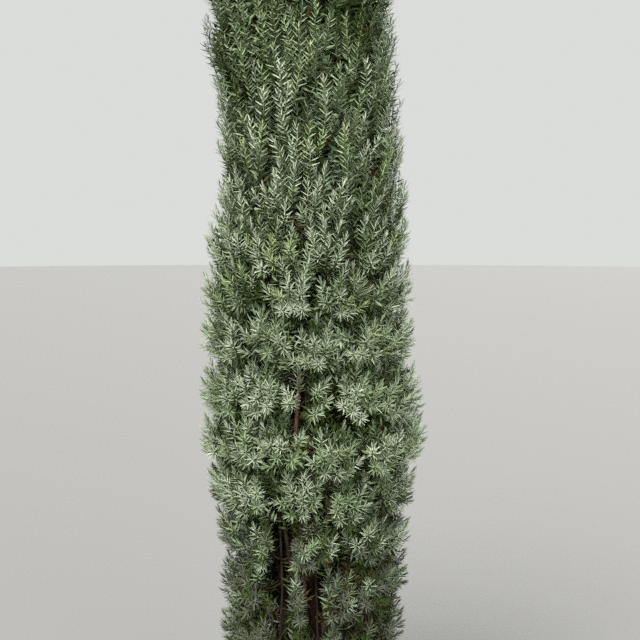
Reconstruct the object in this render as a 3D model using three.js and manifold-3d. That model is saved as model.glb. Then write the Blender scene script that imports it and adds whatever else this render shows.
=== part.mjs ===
// A columnar yew: a flared trunk that runs up through the crown, steep boughs that leave it one above
// another, and a tight column of needled masses round them. Millimetres, +Z up.
// The origin is the centre of the flat cut under the trunk, at ground level.
// The photographed front faces -Y, with +X on its right. Azimuths are in degrees from +X towards +Y.
import * as THREE from "three";
import { mergeVertices } from "three/addons/utils/BufferGeometryUtils.js";
import Module from "manifold-3d";

// Driving dimensions of the crown
const TREE_HEIGHT = 3100;
const LEAN = 0.0185; // drift of the axis towards -X for each unit of height
const SWAY = 7; // how far the axis wanders from a straight line, sideways
const SWAY_DEPTH = 0.6; // and to the front and back, as a share of that
const SWAY_LENGTH = 620;
// Reach of the needle tips from the axis: [height, on the left (-X), on the right (+X)]
const OUTLINE = [
  [40, 120, 120],
  [150, 205, 205],
  [450, 256, 248],
  [700, 255, 262],
  [880, 283, 280],
  [1000, 302, 318],
  [1260, 292, 285],
  [1500, 285, 279],
  [1640, 238, 279],
  [1910, 233, 270],
  [2040, 262, 259],
  [2180, 254, 256],
  [2420, 232, 236],
  [2640, 190, 194],
  [2830, 134, 138],
  [2980, 80, 82],
  [3060, 42, 42],
  [TREE_HEIGHT, 12, 12],
];
// Free space for trunk and boughs inside the masses: [height, radius from the axis]
const LIMB_ROOM = [
  [0, 108],
  [1050, 104],
  [1250, 80],
  [1700, 68],
  [1900, 52],
  [2300, 34],
  [2600, 20],
];

// Trunk
const TRUNK_TIP = 2600;
const TRUNK_RADII = [
  [0, 52],
  [200, 41],
  [1200, 26],
  [TRUNK_TIP, 7],
];
const TRUNK_LEVELS = [0, 14, 34, 62, 105, 200, 420, 700, 1000, 1350, 1700, 2050, 2350, TRUNK_TIP];
const TRUNK_SIDES = 20;
const FLARE_HEIGHT = 95; // height in which the root flare fades away
const FLARE_REACH = 20; // extra radius of a root rib at the ground
const FLARE_FADE = 1.6; // how fast it fades at first
const ROOT_RIBS = 5;
const ROOT_RIB_DEPTH = 0.45; // half the depth of the hollows between the ribs, as a share of the flare
const ROOT_TURN = 0.8;

// Rings of masses from the ground up. Each mass has one bough, and the last mass sits on the trunk's tip.
// foot and tip are the bough's heights, run is its distance from the axis on the way up, thick its radius.
const RINGS = [
  { count: 7, middle: 330, turn: -80.9, foot: 95, tip: 205, run: 84, thick: 12 },
  { count: 7, middle: 900, turn: -68.3, foot: 225, tip: 650, run: 87, thick: 13 },
  { count: 6, middle: 1470, turn: -95, foot: 420, tip: 1215, run: 58, thick: 13 },
  { count: 5, middle: 2030, turn: -128, foot: 1160, tip: 1790, run: 47, thick: 10 },
  { count: 3, middle: 2470, turn: -70, foot: 1720, tip: 2270, run: 32, thick: 7.5 },
  { count: 1, middle: 2850, turn: -90 },
];
const MIDDLE_SHARE = 0.46; // a mass's middle, as a share of the way from the limbs to the needle tips
const HEIGHT_JITTER = 75;
const LEAST_JITTER = 0.5; // the least share of it that a mass shifts
const TURN_JITTER = 6; // degrees, above the first ring
const HEIGHT_WEIGHT = 0.3; // heights count this much when the nearest mass is found, so masses stand tall

// Boughs
const BOUGH_SIDES = 5;
const BOUGH_PARTS = 4;
const BOUGH_TAPER = 0.55; // tip radius over foot radius
const BOUGH_COLLAR = 0.35; // swelling where it leaves the trunk
const BOUGH_COLLAR_FADE = 8; // how fast it fades along the bough
const BOUGH_SINK = 8; // its foot starts this much lower, inside the trunk, before it is cut to fit
const BOUGH_FOOT_DEPTH = 0.3; // its foot's distance from the axis, as a share of the trunk's radius
const BOUGH_SHIFT = { foot: 0.25, tip: 0.5 }; // how much of its mass's own shift in height each end takes
const SWING_LENGTH = 190; // its last stretch, out to the mass, at most this share of its climb
const SWING_SHARE = 0.3;
const LEAVE_SHARE = 0.16; // and its first, away from the trunk
const LEAVE_RUN = 0.6; // how far it has then gone from the trunk's side to its ring's distance
const ENTRY = { sideGap: 10, limbGap: 8, step: 5 }; // room round its tip, and the step of the search for it

// Masses: a dense core, and tufts of needles that stand out of it on twigs
const SPACE_GAP = 0.8; // from a needle to the next mass's space
const SEARCH_STEP = 2; // step of the search for a space's edge
const LEAST_ROOM = 6; // where no room is found
const CORE_DEPTH = 52; // from the core to the needle tips, and at most this share of the reach
const CORE_DEPTH_SHARE = 0.45;
// Gap from a core to the next mass's space, wider where stems show between the masses: [height, gap]
const CORE_SIDE_GAP = [
  [300, 6],
  [900, 4],
  [1500, 2],
];
const CORE_LIMB_GAP = 6;
const CORE_SIDES = 8;
const CORE_LEVELS = 6;
const STEM_SIDES = 5;
const STEM_PARTS = 5;
const STEM_TIP_RADIUS = 2.5;
const STEM_ROOM = { sideGap: 12, tipGap: 30, limbGap: 8, step: 10, straight: 25 };
const TUFT_DEPTH = 40; // from a tuft's middle to the needle tips, and at most this share of the reach
const TUFT_DEPTH_SHARE = 0.5;
const TUFT_PITCH = 138; // along a row
const TUFT_RISE = 132; // from row to row
const FIRST_ROW = 105;
const LAST_ROW = 3060;
const TIGHT_ROWS_FROM = 2700; // the top's rows stand closer
const TIGHT_RISE_SHARE = 0.7;
const TUFT_JITTER = 0.32; // share of the pitch
const TUFT_LIFT = 0.75; // how steeply tufts point up, plus a random share, and more near the top
const TUFT_LIFT_SPREAD = 0.45;
const TOP_LIFT = 1.4;
const TOP_FROM = 2500;
const NEEDLES_PER_TUFT = 5;
const NEEDLE_REACH = 90;
const NEEDLE_LIFTS = [0.2, 0.75]; // how far needles tip towards the shoot's end, by turns
const NOTCH_REACH = 42; // where neighbouring needles part
const NOTCH_LIFT = 0.1;
const TUFT_APEX = 34; // from the needles' roots to the shoot's tip
const TUFT_ROOT = 50; // and down to where it is sunk in its twig
const LEAST_NEEDLES = 3; // a tuft with fewer needles of this share of the reach is left out
const FULL_NEEDLE = 0.4;
const TWIG_RADIUS = 3.2;
const TWIG_SIDES = 3;
const TWIG_SUNK = 14; // length of a twig inside its tuft
const ROOTED_SHARE = 0.08; // share of a tuft inside the core that holds it well
const TWIG_RISE = 0.75; // how far a twig climbs for each unit outwards
const TWIG_SPAN = [0.08, 0.96]; // the stretch of a stem that twigs leave, as shares of its length
const TWIG_CHECKS = [0.2, 0.4, 0.6, 0.8]; // where a twig is checked, as shares of its length
// Streaks where the photograph shows no tufts but bare stems: azimuth, its half width, and heights
const BARE_STREAKS = [
  { azimuth: -106.5, half: 7, from: 380, to: 790 },
  { azimuth: -87, half: 5, from: 300, to: 650 },
  { azimuth: -94, half: 5, from: 1060, to: 1200 },
  { azimuth: -124, half: 6, from: 1330, to: 1440 },
];

const TOUCH_GAP = 0.3; // between pieces that touch
const LIMB_CLEARANCE = 1; // from foliage to limbs
const SHORT_EDGE = 0.4; // edges below this are merged away
const SAME_POINT = 1e-4; // points closer than this are one
const SEED = 20;

const UP = new THREE.Vector3(0, 0, 1);
const FRONT = new THREE.Vector3(0, -1, 0);
const DEGREE = Math.PI / 180;
const bark = new THREE.MeshStandardMaterial({ color: 0x5b3a2c, roughness: 0.92, metalness: 0 });
const foliage = new THREE.MeshStandardMaterial({ color: 0x5f7a66, roughness: 0.62, metalness: 0 });

const wasm = await Module();
wasm.setup();

// A repeatable stream of numbers from 0 to 1.
function seeded(seed) {
  let state = seed;
  return () => {
    state = (state * 1664525 + 1013904223) % 4294967296;
    return state / 4294967296;
  };
}

// The value at a height in rows of [height, value, ...].
function atHeight(rows, z, column = 1) {
  const above = rows.findIndex((row) => row[0] > z);
  if (above === 0) return rows[0][column];
  if (above < 0) return rows[rows.length - 1][column];
  const [low, high] = [rows[above - 1], rows[above]];
  return THREE.MathUtils.lerp(low[column], high[column], (z - low[0]) / (high[0] - low[0]));
}

// The point on the crown's axis at a height.
function axisAt(z) {
  const wander = SWAY * Math.sin(z / SWAY_LENGTH);
  return new THREE.Vector3(wander - LEAN * z, wander * SWAY_DEPTH, z);
}

// The point at a height, azimuth (radians) and distance from the axis.
function onCrown(z, azimuth, radius) {
  const out = new THREE.Vector3(Math.cos(azimuth), Math.sin(azimuth), 0);
  return axisAt(z).addScaledVector(out, radius);
}

// How far the needle tips reach from the axis, blended between the two sides of the outline.
function reachAt(z, azimuth) {
  if (z > TREE_HEIGHT || z < OUTLINE[0][0]) return 0;
  const right = (1 + Math.cos(azimuth)) / 2;
  return THREE.MathUtils.lerp(atHeight(OUTLINE, z, 1), atHeight(OUTLINE, z, 2), right);
}

function limbRoomAt(z) {
  return z > TRUNK_TIP ? 0 : atHeight(LIMB_ROOM, z);
}

// A closed three.js geometry as a solid.
function solidOf(geometry) {
  const bare = geometry.clone();
  for (const name of Object.keys(bare.attributes)) {
    if (name !== "position") bare.deleteAttribute(name);
  }
  const merged = mergeVertices(bare, SAME_POINT);
  return new wasm.Manifold(
    new wasm.Mesh({
      numProp: 3,
      vertProperties: new Float32Array(merged.attributes.position.array),
      triVerts: new Uint32Array(merged.index.array),
    }),
  );
}

function geometryOf(solid) {
  const mesh = solid.getMesh();
  const geometry = new THREE.BufferGeometry();
  geometry.setAttribute("position", new THREE.BufferAttribute(mesh.vertProperties, 3));
  geometry.setIndex(new THREE.BufferAttribute(mesh.triVerts, 1));
  geometry.computeVertexNormals();
  return geometry;
}

// Drops loose scraps and sealed hollows, and edges too short to matter.
function largestPiece(solid) {
  const pieces = solid.simplify(SHORT_EDGE).decompose();
  pieces.sort((a, b) => b.volume() - a.volume());
  return pieces[0];
}

// A tapering limb along a curve: a closed cylinder whose rings are set square on the curve.
// radiusAt(t) gives its radius at a share t of its length, and it ends tipGap beyond the curve.
function limbGeometry(curve, radiusAt, sides, rings, tipGap = 0) {
  const geometry = new THREE.CylinderGeometry(1, 1, 1, sides, rings);
  const frames = curve.computeFrenetFrames(rings, false);
  const position = geometry.attributes.position;
  const vertex = new THREE.Vector3();
  for (let i = 0; i < position.count; i++) {
    vertex.fromBufferAttribute(position, i);
    const ring = Math.round((vertex.y + 0.5) * rings);
    const radius = radiusAt(ring / rings);
    const placed = curve.getPointAt(ring / rings);
    placed.addScaledVector(frames.binormals[ring], radius * vertex.x);
    placed.addScaledVector(frames.normals[ring], radius * vertex.z);
    if (ring === rings) placed.addScaledVector(frames.tangents[ring], tipGap);
    position.setXYZ(i, placed.x, placed.y, placed.z);
  }
  return geometry;
}

// The trunk's radius, with root ribs that fade with height.
function trunkRadius(z, azimuth) {
  const fade = Math.max(0, 1 - z / FLARE_HEIGHT) ** FLARE_FADE;
  const rib = 1 - ROOT_RIB_DEPTH * (1 - Math.cos(ROOT_RIBS * azimuth + ROOT_TURN));
  return atHeight(TRUNK_RADII, z) + FLARE_REACH * fade * rib;
}

// The trunk's level rings. extra fattens it all round, to cut other pieces clear of it.
function trunkSolid(extra) {
  const rings = TRUNK_LEVELS.length - 1;
  const geometry = new THREE.CylinderGeometry(1, 1, 1, TRUNK_SIDES, rings);
  const position = geometry.attributes.position;
  for (let i = 0; i < position.count; i++) {
    const ring = Math.round((position.getY(i) + 0.5) * rings);
    const z = TRUNK_LEVELS[ring];
    const azimuth = Math.atan2(-position.getZ(i), position.getX(i));
    const radius = trunkRadius(z, azimuth) + extra;
    const size = Math.hypot(position.getX(i), position.getZ(i)) * radius;
    const placed = onCrown(z, azimuth, size);
    if (ring === 0) placed.z -= extra;
    if (ring === rings) placed.z += Math.min(extra, TOUCH_GAP);
    position.setXYZ(i, placed.x, placed.y, placed.z);
  }
  return solidOf(geometry);
}

// Where the masses are: their middles stand round the limbs, by turns lower and higher in each ring.
function placeMasses() {
  const random = seeded(SEED);
  const placed = [];
  RINGS.forEach((ring, level) => {
    for (let k = 0; k < ring.count; k++) {
      const jitter = (level > 0 ? TURN_JITTER : 0) * (2 * random() - 1);
      const azimuth = (ring.turn + (360 * k) / ring.count + jitter) * DEGREE;
      const side = k % 2 ? 1 : -1;
      const shift = ring.foot ? side * HEIGHT_JITTER * THREE.MathUtils.lerp(LEAST_JITTER, 1, random()) : 0;
      const z = ring.middle + shift;
      const radius = THREE.MathUtils.lerp(limbRoomAt(z), reachAt(z, azimuth), MIDDLE_SHARE);
      placed.push({ ring, azimuth, shift, middle: onCrown(z, azimuth, ring.foot ? radius : 0) });
    }
  });
  return placed;
}

const masses = placeMasses();

function weighted(p) {
  return new THREE.Vector3(p.x, p.y, p.z * HEIGHT_WEIGHT);
}

const weightedMiddles = masses.map((mass) => weighted(mass.middle));

// Distance from a point to the edge of a mass's own space, where another mass is as near. Negative outside.
function sideRoom(point, index) {
  const p = weighted(point);
  const own = weightedMiddles[index];
  const ownDistance = p.distanceToSquared(own);
  let room = Infinity;
  weightedMiddles.forEach((other, j) => {
    if (j === index) return;
    room = Math.min(room, (p.distanceToSquared(other) - ownDistance) / (2 * own.distanceTo(other)));
  });
  return room;
}

// True where a point lies in a mass's space: in its share of the crown, clear of the limbs' room.
function inSpace(point, index, sideGap, tipGap, limbGap) {
  const fromAxis = point.clone().sub(axisAt(point.z));
  const radius = Math.hypot(fromAxis.x, fromAxis.y);
  if (radius > reachAt(point.z, Math.atan2(fromAxis.y, fromAxis.x)) - tipGap) return false;
  const limbRoom = limbRoomAt(point.z);
  if (limbRoom > 0 && radius < limbRoom + limbGap) return false;
  return sideRoom(point, index) > sideGap;
}

// How far one can go from a point in a direction before a test fails.
function roomAlong(start, direction, most, test) {
  const at = (distance) => start.clone().addScaledVector(direction, distance);
  let far = 0;
  while (far < most && test(at(far + SEARCH_STEP))) far += SEARCH_STEP;
  return Math.min(far, most);
}

// A bough: it leaves the trunk, climbs steeply at its ring's distance, and swings out to its mass.
function boughCurve(mass) {
  const { ring, azimuth, shift, entry } = mass;
  const foot = ring.foot + shift * BOUGH_SHIFT.foot;
  const climb = entry.z - foot;
  const leave = foot + LEAVE_SHARE * climb;
  const swing = entry.z - Math.min(SWING_LENGTH, SWING_SHARE * climb);
  const beside = THREE.MathUtils.lerp(atHeight(TRUNK_RADII, leave) + ring.thick, ring.run, LEAVE_RUN);
  const points = [
    onCrown(foot - BOUGH_SINK, azimuth, BOUGH_FOOT_DEPTH * atHeight(TRUNK_RADII, foot)),
    onCrown(leave, azimuth, beside),
    onCrown(swing, azimuth, ring.run),
    entry,
  ];
  return new THREE.CatmullRomCurve3(points, false, "centripetal");
}

function boughRadius(ring, t) {
  const collar = 1 + BOUGH_COLLAR * (1 - t) ** BOUGH_COLLAR_FADE;
  return ring.thick * THREE.MathUtils.lerp(1, BOUGH_TAPER, t) * collar;
}

function boughSolid(mass, curve, extra) {
  const radiusAt = (t) => boughRadius(mass.ring, t) + extra;
  const tipGap = Math.min(extra, TOUCH_GAP);
  return solidOf(limbGeometry(curve, radiusAt, BOUGH_SIDES, BOUGH_PARTS, tipGap));
}

// The lowest point of a mass's space beside the limbs, where its bough's tip and its stem meet.
function entryOf(mass, index) {
  const { ring, azimuth, shift } = mass;
  const { sideGap, limbGap, step } = ENTRY;
  const at = (z) => onCrown(z, azimuth, limbRoomAt(z) + ring.thick * BOUGH_TAPER + limbGap);
  let z = ring.tip + shift * BOUGH_SHIFT.tip;
  while (z < mass.middle.z && !inSpace(at(z), index, sideGap, 0, 0)) z += step;
  return at(z);
}

// A mass's stem goes on from its bough's tip, through its middle, nearly to its top.
function stemCurve(mass, index) {
  const { sideGap, tipGap, limbGap, step, straight } = STEM_ROOM;
  const along = new THREE.Vector3(-LEAN, 0, 1).multiplyScalar(step);
  const top = mass.middle.clone();
  while (inSpace(top.clone().add(along), index, sideGap, tipGap, limbGap)) top.add(along);
  const first = mass.stemFoot.clone().addScaledVector(mass.stemDirection, straight);
  return new THREE.CatmullRomCurve3([mass.stemFoot, first, mass.middle, top], false, "centripetal");
}

// The dense inside of a mass: a ball whose points are pushed out as far as its space allows.
function coreSolid(mass, index) {
  const geometry = new THREE.SphereGeometry(1, CORE_SIDES, CORE_LEVELS);
  const position = geometry.attributes.position;
  const tall = 1 / HEIGHT_WEIGHT;
  const depthAt = (z) => Math.min(CORE_DEPTH, CORE_DEPTH_SHARE * reachAt(z, Math.PI / 2));
  const test = (p) => inSpace(p, index, atHeight(CORE_SIDE_GAP, p.z), depthAt(p.z), CORE_LIMB_GAP);
  for (let i = 0; i < position.count; i++) {
    // the ball's poles lie on its y axis, which is stood up here
    const way = new THREE.Vector3(position.getX(i), -position.getZ(i), position.getY(i) * tall);
    way.normalize();
    const far = Math.max(LEAST_ROOM, roomAlong(mass.middle, way, TREE_HEIGHT, test));
    const placed = mass.middle.clone().addScaledVector(way, far);
    position.setXYZ(i, placed.x, placed.y, placed.z);
  }
  return solidOf(geometry);
}

// The direction square to a shoot at an angle round it, tipped towards the shoot's end by lift.
function aroundShoot(direction, angle, lift) {
  const across = Math.abs(direction.z) > 0.99 ? FRONT : UP;
  const side = new THREE.Vector3().crossVectors(across, direction).normalize();
  const front = new THREE.Vector3().crossVectors(direction, side);
  const out = side.multiplyScalar(Math.cos(angle)).addScaledVector(front, Math.sin(angle));
  return out.addScaledVector(direction, lift).normalize();
}

// The ring of a tuft's points as far as its mass's space allows: needle tips, and notches between them.
function tuftRing(tuft, index) {
  const test = (p) => inSpace(p, index, SPACE_GAP, 0, TWIG_RADIUS);
  return Array.from({ length: 2 * NEEDLES_PER_TUFT }, (_, k) => {
    const angle = (Math.PI * k) / NEEDLES_PER_TUFT + tuft.spin;
    const isNeedle = k % 2 === 0;
    const way = aroundShoot(tuft.direction, angle, isNeedle ? NEEDLE_LIFTS[(k / 2) % 2] : NOTCH_LIFT);
    const room = roomAlong(tuft.centre, way, isNeedle ? NEEDLE_REACH : NOTCH_REACH, test);
    return { isNeedle, room, point: tuft.centre.clone().addScaledVector(way, Math.max(room, LEAST_ROOM)) };
  });
}

// A tuft: a star of needles round a shoot's tip, pointed at both ends and sunk in its twig below.
function tuftGeometry(tuft, ring) {
  const apex = tuft.centre.clone().addScaledVector(tuft.direction, TUFT_APEX);
  const root = tuft.centre.clone().addScaledVector(tuft.direction, -TUFT_ROOT);
  const points = [...ring.map((r) => r.point), apex, root].flatMap((p) => [p.x, p.y, p.z]);
  const faces = ring.flatMap((_, k) => {
    const next = (k + 1) % ring.length;
    return [k, next, ring.length, next, k, ring.length + 1];
  });
  const geometry = new THREE.BufferGeometry();
  geometry.setAttribute("position", new THREE.BufferAttribute(new Float32Array(points), 3));
  geometry.setIndex(faces);
  return geometry;
}

function inStreak(z, azimuth) {
  return BARE_STREAKS.some((streak) => {
    const turned = THREE.MathUtils.euclideanModulo(azimuth / DEGREE - streak.azimuth + 180, 360);
    return Math.abs(turned - 180) < streak.half && z > streak.from && z < streak.to;
  });
}

// The tufts' places: staggered rows round the crown, jittered, each dealt to the mass that owns its space.
function placeTufts() {
  const random = seeded(SEED + 1);
  const placed = [];
  let isOddRow = false;
  let z = FIRST_ROW;
  while (z < LAST_ROW) {
    const around = 2 * Math.PI * (reachAt(z, Math.PI / 2) - TUFT_DEPTH);
    const count = Math.max(2, Math.round(around / TUFT_PITCH));
    for (let k = 0; k < count; k++) {
      const height = z + TUFT_RISE * TUFT_JITTER * (random() - 0.5);
      const share = (k + (isOddRow ? 0.5 : 0) + TUFT_JITTER * (random() - 0.5)) / count;
      const azimuth = 2 * Math.PI * share;
      const spin = random() * Math.PI;
      const steep = TOP_LIFT * THREE.MathUtils.smoothstep(height, TOP_FROM, TREE_HEIGHT);
      const lift = TUFT_LIFT + TUFT_LIFT_SPREAD * random() + steep;
      if (inStreak(height, azimuth)) continue;
      const reach = reachAt(height, azimuth);
      const centre = onCrown(height, azimuth, reach - Math.min(TUFT_DEPTH, TUFT_DEPTH_SHARE * reach));
      const direction = new THREE.Vector3(Math.cos(azimuth), Math.sin(azimuth), lift).normalize();
      placed.push({ centre, direction, spin });
    }
    isOddRow = !isOddRow;
    z += z > TIGHT_ROWS_FROM ? TUFT_RISE * TIGHT_RISE_SHARE : TUFT_RISE;
  }
  placed.push({ centre: axisAt(TREE_HEIGHT - TUFT_APEX), direction: UP.clone(), spin: 0 });
  return placed;
}

function ownerOf(point) {
  const p = weighted(point);
  let best = 0;
  weightedMiddles.forEach((middle, j) => {
    if (p.distanceToSquared(middle) < p.distanceToSquared(weightedMiddles[best])) best = j;
  });
  return best;
}

// A twig from the stem out to a tuft's root, or null where it would leave the mass's space.
function twigCurve(stem, tuft, index) {
  const [low, high] = [stem.getPointAt(0).z, stem.getPointAt(1).z];
  const end = tuft.centre.clone().addScaledVector(tuft.direction, TWIG_SUNK - TUFT_ROOT);
  const far = Math.hypot(end.x - masses[index].middle.x, end.y - masses[index].middle.y);
  const share = (end.z - TWIG_RISE * far - low) / (high - low);
  const start = stem.getPointAt(THREE.MathUtils.clamp(share, ...TWIG_SPAN));
  const twig = new THREE.LineCurve3(start, end);
  const clear = (p) => inSpace(p, index, TWIG_RADIUS + SPACE_GAP, 0, TWIG_RADIUS);
  return TWIG_CHECKS.every((t) => clear(twig.getPointAt(t))) ? twig : null;
}

// A mass: its core and stem, and the tufts that keep to its space, fused and cut clear of all limbs.
function massSolid(mass, index, tufts, limbs) {
  const stem = stemCurve(mass, index);
  const core = coreSolid(mass, index);
  const stemRadius = (t) => THREE.MathUtils.lerp(mass.stemRadius, STEM_TIP_RADIUS, t);
  const parts = [core, solidOf(limbGeometry(stem, stemRadius, STEM_SIDES, STEM_PARTS))];
  for (const tuft of tufts) {
    const twig = twigCurve(stem, tuft, index);
    const ring = tuftRing(tuft, index);
    const full = ring.filter((r) => r.isNeedle && r.room > FULL_NEEDLE * NEEDLE_REACH);
    if (!twig || full.length < LEAST_NEEDLES) continue;
    const star = solidOf(tuftGeometry(tuft, ring));
    parts.push(star);
    // the twig of a tuft that is rooted in the core would be hidden there
    const isRooted = star.intersect(core).volume() > ROOTED_SHARE * star.volume();
    if (!isRooted) parts.push(solidOf(limbGeometry(twig, () => TWIG_RADIUS, TWIG_SIDES, 1)));
  }
  return largestPiece(wasm.Manifold.union(parts).subtract(limbs));
}

// The start of a mass's stem: at its bough's tip, or for the last mass at the trunk's.
function setStemFoot(mass, tip, direction, radius) {
  mass.stemFoot = tip.clone().addScaledVector(direction, TOUCH_GAP);
  mass.stemDirection = direction;
  mass.stemRadius = radius;
}

function buildTree() {
  const tree = new THREE.Group();
  const add = (name, solid, material) => {
    const mesh = new THREE.Mesh(geometryOf(solid), material);
    mesh.name = name;
    tree.add(mesh);
  };
  const number = (index) => String(index + 1).padStart(2, "0");

  add("trunk", trunkSolid(0), bark);
  const limbs = [trunkSolid(LIMB_CLEARANCE)];
  const trunkToCut = trunkSolid(TOUCH_GAP);
  masses.forEach((mass, index) => {
    if (!mass.ring.foot) {
      setStemFoot(mass, axisAt(TRUNK_TIP), UP, atHeight(TRUNK_RADII, TRUNK_TIP));
      return;
    }
    mass.entry = entryOf(mass, index);
    const curve = boughCurve(mass);
    add(`bough_${number(index)}`, largestPiece(boughSolid(mass, curve, 0).subtract(trunkToCut)), bark);
    limbs.push(boughSolid(mass, curve, LIMB_CLEARANCE));
    setStemFoot(mass, mass.entry, curve.getTangentAt(1), boughRadius(mass.ring, 1));
  });

  const tufts = placeTufts();
  const owners = tufts.map((tuft) => ownerOf(tuft.centre));
  const allLimbs = wasm.Manifold.union(limbs);
  masses.forEach((mass, index) => {
    const own = tufts.filter((_, k) => owners[k] === index);
    add(`mass_${number(index)}`, massSolid(mass, index, own, allLimbs), foliage);
  });
  return tree;
}

export default buildTree();
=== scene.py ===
"""A columnar yew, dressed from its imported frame: bark on the trunk and boughs, and a crown of needled shoots.

Metres, +Z up. The photographed front faces -Y. The crown grows by the same seeded rule as the solids: masses
round the limbs, a stem in each, and twigs out to tufts. Here each tuft is carried on to single shoots.
"""
import math
from typing import NamedTuple

import bpy
import numpy as np
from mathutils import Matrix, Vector


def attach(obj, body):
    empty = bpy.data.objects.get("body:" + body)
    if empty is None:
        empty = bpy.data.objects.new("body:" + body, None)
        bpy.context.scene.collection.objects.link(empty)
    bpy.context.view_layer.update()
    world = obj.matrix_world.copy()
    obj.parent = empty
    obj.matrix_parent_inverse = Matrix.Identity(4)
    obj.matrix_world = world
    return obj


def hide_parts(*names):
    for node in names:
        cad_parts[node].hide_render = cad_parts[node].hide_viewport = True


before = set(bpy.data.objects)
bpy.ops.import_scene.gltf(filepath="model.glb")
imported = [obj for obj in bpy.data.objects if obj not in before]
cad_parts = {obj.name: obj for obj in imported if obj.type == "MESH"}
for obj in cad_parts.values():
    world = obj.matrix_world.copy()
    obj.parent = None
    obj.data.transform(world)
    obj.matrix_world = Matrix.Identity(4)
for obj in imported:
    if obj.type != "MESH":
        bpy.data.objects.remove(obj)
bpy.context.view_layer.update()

# Driving dimensions of the crown, as in the solids
TREE_HEIGHT = 3.1
LEAN = 0.0185  # drift of the axis towards -X for each unit of height
SWAY = 0.007  # how far the axis wanders from a straight line, sideways
SWAY_DEPTH = 0.6  # and to the front and back, as a share of that
SWAY_LENGTH = 0.62
# Reach of the needle tips from the axis: height, on the left (-X), on the right (+X)
OUTLINE = np.array([
    (0.040, 0.120, 0.120),
    (0.150, 0.205, 0.205),
    (0.450, 0.256, 0.248),
    (0.700, 0.255, 0.262),
    (0.880, 0.283, 0.280),
    (1.000, 0.302, 0.318),
    (1.260, 0.292, 0.285),
    (1.500, 0.285, 0.279),
    (1.640, 0.238, 0.279),
    (1.910, 0.233, 0.270),
    (2.040, 0.262, 0.259),
    (2.180, 0.254, 0.256),
    (2.420, 0.232, 0.236),
    (2.640, 0.190, 0.194),
    (2.830, 0.134, 0.138),
    (2.980, 0.080, 0.082),
    (3.060, 0.042, 0.042),
    (TREE_HEIGHT, 0.012, 0.012),
])
# Free space for trunk and boughs inside the masses: height, radius from the axis
LIMB_ROOM = np.array([
    (0.0, 0.108),
    (1.05, 0.104),
    (1.25, 0.080),
    (1.70, 0.068),
    (1.90, 0.052),
    (2.30, 0.034),
    (2.60, 0.020),
])

# Trunk
TRUNK_TIP = 2.6
TRUNK_RADII = np.array([(0.0, 0.052), (0.2, 0.041), (1.2, 0.026), (TRUNK_TIP, 0.007)])
FLARE_HEIGHT = 0.095  # height in which the root flare fades away
FLARE_REACH = 0.020  # extra radius of a root rib at the ground
FLARE_FADE = 1.6  # how fast it fades at first
ROOT_RIBS = 5
ROOT_RIB_DEPTH = 0.45  # half the depth of the hollows between the ribs, as a share of the flare
ROOT_TURN = 0.8

# Rings of masses from the ground up, each mass with one bough. The last one sits on the trunk's tip.
RINGS = [
    dict(count=7, middle=0.33, turn=-80.9, foot=0.095, tip=0.205, run=0.084, thick=0.012),
    dict(count=7, middle=0.90, turn=-68.3, foot=0.225, tip=0.650, run=0.087, thick=0.013),
    dict(count=6, middle=1.47, turn=-95.0, foot=0.420, tip=1.215, run=0.058, thick=0.013),
    dict(count=5, middle=2.03, turn=-128.0, foot=1.160, tip=1.790, run=0.047, thick=0.010),
    dict(count=3, middle=2.47, turn=-70.0, foot=1.720, tip=2.270, run=0.032, thick=0.0075),
    dict(count=1, middle=2.85, turn=-90.0, foot=0.0),
]
MIDDLE_SHARE = 0.46  # a mass's middle, as a share of the way from the limbs to the needle tips
HEIGHT_JITTER = 0.075
LEAST_JITTER = 0.5  # the least share of it that a mass shifts
TURN_JITTER = 6.0  # degrees, above the first ring
HEIGHT_WEIGHT = 0.3  # heights count this much in finding the nearest mass, so masses stand tall

# Boughs
BOUGH_TAPER = 0.55  # tip radius over foot radius
BOUGH_COLLAR = 0.35  # swelling where it leaves the trunk
BOUGH_COLLAR_FADE = 8  # how fast it fades along the bough
BOUGH_SINK = 0.008  # its foot starts this much lower, inside the trunk
BOUGH_FOOT_DEPTH = 0.3  # its foot's distance from the axis, as a share of the trunk's radius
BOUGH_SHIFT_FOOT = 0.25  # share of its mass's shift that its foot takes
BOUGH_SHIFT_TIP = 0.5  # and its tip
SWING_LENGTH = 0.190  # its last stretch, out to the mass
SWING_SHARE = 0.3  # which is at most this share of its climb
LEAVE_SHARE = 0.16  # its first stretch, away from the trunk, as a share of its climb
LEAVE_RUN = 0.6  # how far it has then moved out to its ring's distance
ENTRY_SIDE_GAP = 0.010  # room round its tip, and the step of the search for it
ENTRY_LIMB_GAP = 0.008
ENTRY_STEP = 0.005

# Stems of the masses
STEM_SIDE_GAP = 0.012
STEM_TIP_GAP = 0.030
STEM_LIMB_GAP = 0.008
STEM_STEP = 0.010  # step of the search for its top
STEM_STRAIGHT = 0.025  # how far it first goes on in its bough's direction
STEM_TIP_RADIUS = 0.0025
TOUCH_GAP = 0.0003  # between pieces that touch

# Tufts
TUFT_DEPTH = 0.040  # from a tuft's middle to the needle tips
TUFT_DEPTH_SHARE = 0.5  # and at most this share of the reach
TUFT_PITCH = 0.138  # along a row
TUFT_RISE = 0.132  # from row to row
LEAST_TUFTS = 2  # in a row
FIRST_ROW = 0.105
LAST_ROW = 3.060
TIGHT_ROWS_FROM = 2.7  # the top's rows stand closer
TIGHT_RISE_SHARE = 0.7
TUFT_JITTER = 0.32  # share of the pitch
TUFT_LIFT = 0.75  # how steeply tufts point up, plus a random share, and more near the top
TUFT_LIFT_SPREAD = 0.45
TOP_LIFT = 1.4
TOP_FROM = 2.5
TUFT_APEX = 0.034  # from a tuft's middle to its tip
TUFT_ROOT = 0.050  # and down to its root

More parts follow.
